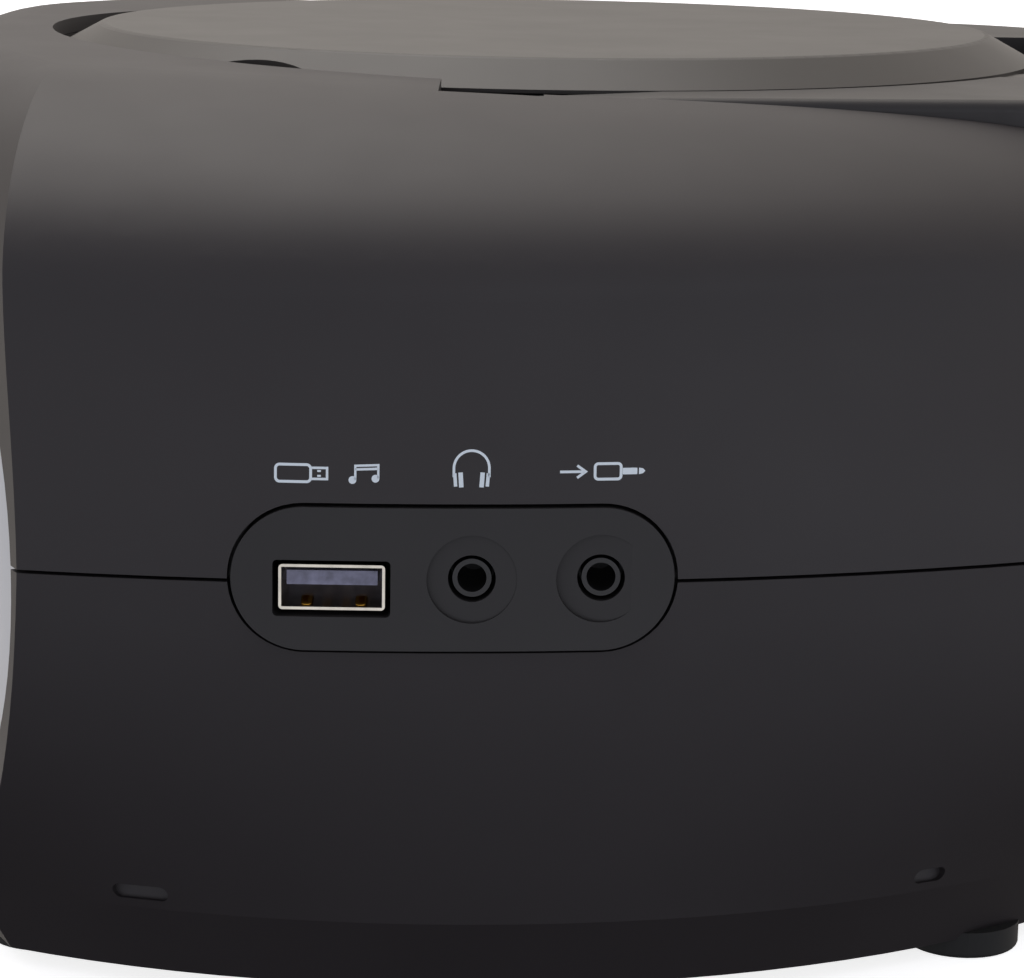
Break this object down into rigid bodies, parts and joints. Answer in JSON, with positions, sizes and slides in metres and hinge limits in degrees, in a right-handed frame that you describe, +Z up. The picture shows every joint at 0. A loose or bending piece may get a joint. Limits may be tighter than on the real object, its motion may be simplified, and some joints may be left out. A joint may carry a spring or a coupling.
{
  "type": "cd radio",
  "caption": "Compact portable disc player and radio: rounded black housing, round hinged lid, folding handle, angled speakers, front controls, side jacks, drawing aerial and battery bay",
  "frame": {"origin": "centre of the overall box, on the surface the feet stand on", "axes": "+X to the user's right, -Y towards the user, +Z up"},
  "size_m": [0.2817, 0.2267, 0.1195],
  "materials": {
    "soft_black": "soft-touch matt",
    "handle_black": "matt moulded",
    "foot_rubber": "matt",
    "screw_steel": "plated",
    "pin_steel": "turned",
    "lid_gloss": "polished",
    "clamp_black": "moulded",
    "well_black": "fine grain",
    "chassis_black": "moulded",
    "damper_rubber": "soft",
    "rod_steel": "ground",
    "motor_steel": "plated",
    "hub_black": "moulded",
    "sled_black": "moulded",
    "lens_clear": "clear lens",
    "gear_white": "moulded",
    "pinion_white": "moulded",
    "fascia_gloss": "polished",
    "window_clear": "clear",
    "display_grey": "liquid crystal",
    "dial_dark": "printed",
    "pointer_red": "moulded",
    "slider_black": "moulded",
    "switch_black": "moulded",
    "board_green": "solder mask",
    "panel_black": "fine grain",
    "usb_steel": "bright plated",
    "usb_tongue": "moulded",
    "contact_gold": "gold plated",
    "aerial_base": "moulded",
    "aerial_chrome": "bright",
    "inlet_black": "moulded",
    "bay_black": "moulded",
    "contact_spring": "plated",
    "door_black": "soft-touch matt",
    "transformer_steel": "varnished laminations",
    "knob_black": "fluted",
    "pot_steel": "pressed",
    "jack_black": "moulded",
    "grille_silver": "silver lacquer",
    "basket_steel": "black lacquer",
    "cone_black": "pulp paper",
    "key_silver": "silver lacquer"
  },
  "bodies": {
    "housing": {"housing_top": "soft_black", "top_deck": "soft_black", "grip_tray": "soft_black", "housing_bottom": "soft_black", "rubber_feet": "foot_rubber", "housing_screws": "screw_steel", "hinge_pins": "pin_steel", "disc_well": "well_black", "traverse_chassis": "chassis_black", "mech_dampers": "damper_rubber", "guide_rods": "rod_steel", "spindle_motor": "motor_steel", "sled_motor": "motor_steel", "control_fascia": "fascia_gloss", "display_window": "window_clear", "display_module": "display_grey", "dial_scale": "dial_dark", "panel_switches": "switch_black", "front_board": "board_green", "jack_panel": "panel_black", "usb_socket_shell": "usb_steel", "usb_tongue": "usb_tongue", "usb_contacts": "contact_gold", "jack_board": "board_green", "mains_inlet": "inlet_black", "battery_box": "bay_black", "battery_contacts": "contact_spring", "main_board": "board_green", "transformer": "transformer_steel", "volume_pot": "pot_steel", "tuning_capacitor": "pot_steel", "headphone_jack": "jack_black", "aux_jack": "jack_black", "speaker_grille_right": "grille_silver", "speaker_grille_left": "grille_silver", "speaker_frames": "basket_steel", "speaker_cones": "cone_black"},
    "lid": {"lid": "lid_gloss", "lid_arms": "lid_gloss", "lid_disc_clamp": "clamp_black"},
    "handle": {"handle": "handle_black"},
    "volume_knob": {"volume_knob": "knob_black"},
    "tuning_knob": {"tuning_knob": "knob_black"},
    "dial_pointer": {"dial_pointer": "pointer_red"},
    "function_slider": {"function_slider": "slider_black"},
    "spindle_hub": {"spindle_hub": "hub_black"},
    "pickup": {"pickup_sled": "sled_black", "pickup_lens": "lens_clear"},
    "drive_gear": {"drive_gear": "gear_white"},
    "sled_pinion": {"sled_pinion": "pinion_white"},
    "battery_door": {"battery_door": "door_black"},
    "aerial_swivel": {"antenna_base": "aerial_base"},
    "aerial_outer": {"antenna_outer_tube": "aerial_chrome"},
    "aerial_middle": {"antenna_middle_tube": "aerial_chrome"},
    "aerial_inner": {"antenna_inner_tube": "aerial_chrome"},
    "key_previous": {"key_previous": "key_silver"},
    "key_play": {"key_play": "key_silver"},
    "key_next": {"key_next": "key_silver"},
    "key_stop": {"key_stop": "key_silver"},
    "key_mode": {"key_mode": "key_silver"}
  },
  "joints": [
    {"name": "lid_hinge", "type": "hinge", "parent": "housing", "child": "lid", "pos_m": [0, 0.0841, 0.1104], "axis": [-1, 0, 0], "range_deg": [0, 72]},
    {"name": "handle_hinge", "type": "hinge", "parent": "housing", "child": "handle", "pos_m": [0, -0.0044, 0.1106], "axis": [1, 0, 0], "range_deg": [0, 90]},
    {"name": "volume_turn", "type": "hinge", "parent": "housing", "child": "volume_knob", "pos_m": [-0.027, -0.11, 0.0335], "axis": [0, 1, 0], "range_deg": [-150, 150]},
    {"name": "tuning_turn", "type": "hinge", "parent": "housing", "child": "tuning_knob", "pos_m": [0.027, -0.11, 0.0335], "axis": [0, 1, 0], "range_deg": [-540, 540]},
    {"name": "pointer_slide", "type": "slide", "parent": "housing", "child": "dial_pointer", "axis": [1, 0, 0], "range_m": [-0.0241, 0.0241]},
    {"name": "function_slide", "type": "slide", "parent": "housing", "child": "function_slider", "axis": [1, 0, 0], "range_m": [-0.0055, 0.0055]},
    {"name": "hub_spin", "type": "hinge", "parent": "housing", "child": "spindle_hub", "pos_m": [0, 0.0031, 0.105], "axis": [0, 0, 1], "continuous": true},
    {"name": "sled_slide", "type": "slide", "parent": "housing", "child": "pickup", "axis": [-1, 0, 0], "range_m": [0, 0.033]},
    {"name": "drive_gear_turn", "type": "hinge", "parent": "housing", "child": "drive_gear", "pos_m": [-0.0405, 0.0331, 0.1], "axis": [0, 0, 1], "range_deg": [-480, 0]},
    {"name": "sled_pinion_turn", "type": "hinge", "parent": "housing", "child": "sled_pinion", "pos_m": [-0.0245, 0.0331, 0.1], "axis": [0, 0, 1], "range_deg": [0, 1430]},
    {"name": "battery_door_hinge", "type": "hinge", "parent": "housing", "child": "battery_door", "pos_m": [0, 0.10027, 0.0222], "axis": [-1, 0, 0], "range_deg": [0, 100]},
    {"name": "aerial_turn", "type": "hinge", "parent": "housing", "child": "aerial_swivel", "pos_m": [0.066, 0.1101, 0.0885], "axis": [0, 1, 0], "range_deg": [0, 180]},
    {"name": "aerial_tilt", "type": "hinge", "parent": "aerial_swivel", "child": "aerial_outer", "pos_m": [0.066, 0.1101, 0.0885], "axis": [0, 0, -1], "range_deg": [0, 90]},
    {"name": "aerial_middle_draw", "type": "slide", "parent": "aerial_outer", "child": "aerial_middle", "axis": [-1, 0, 0], "range_m": [0, 0.09]},
    {"name": "aerial_inner_draw", "type": "slide", "parent": "aerial_middle", "child": "aerial_inner", "axis": [-1, 0, 0], "range_m": [0, 0.09]},
    {"name": "key_previous_press", "type": "slide", "parent": "housing", "child": "key_previous", "axis": [0, 1, 0], "range_m": [0, 0.0008], "stiffness_N_per_m": 400, "springref_m": -0.0006},
    {"name": "key_play_press", "type": "slide", "parent": "housing", "child": "key_play", "axis": [0, 1, 0], "range_m": [0, 0.0008], "stiffness_N_per_m": 400, "springref_m": -0.0006},
    {"name": "key_next_press", "type": "slide", "parent": "housing", "child": "key_next", "axis": [0, 1, 0], "range_m": [0, 0.0008], "stiffness_N_per_m": 400, "springref_m": -0.0006},
    {"name": "key_stop_press", "type": "slide", "parent": "housing", "child": "key_stop", "axis": [0, 1, 0], "range_m": [0, 0.0008], "stiffness_N_per_m": 400, "springref_m": -0.0006},
    {"name": "key_mode_press", "type": "slide", "parent": "housing", "child": "key_mode", "axis": [0, 1, 0], "range_m": [0, 0.0008], "stiffness_N_per_m": 400, "springref_m": -0.0006}
  ],
  "couplings": [
    {"joint": "pointer_slide", "follows": "tuning_turn", "m_per_rad": 0.0025465},
    {"joint": "drive_gear_turn", "follows": "sled_slide", "rad_per_m": -250},
    {"joint": "sled_pinion_turn", "follows": "sled_slide", "rad_per_m": 750}
  ]
}
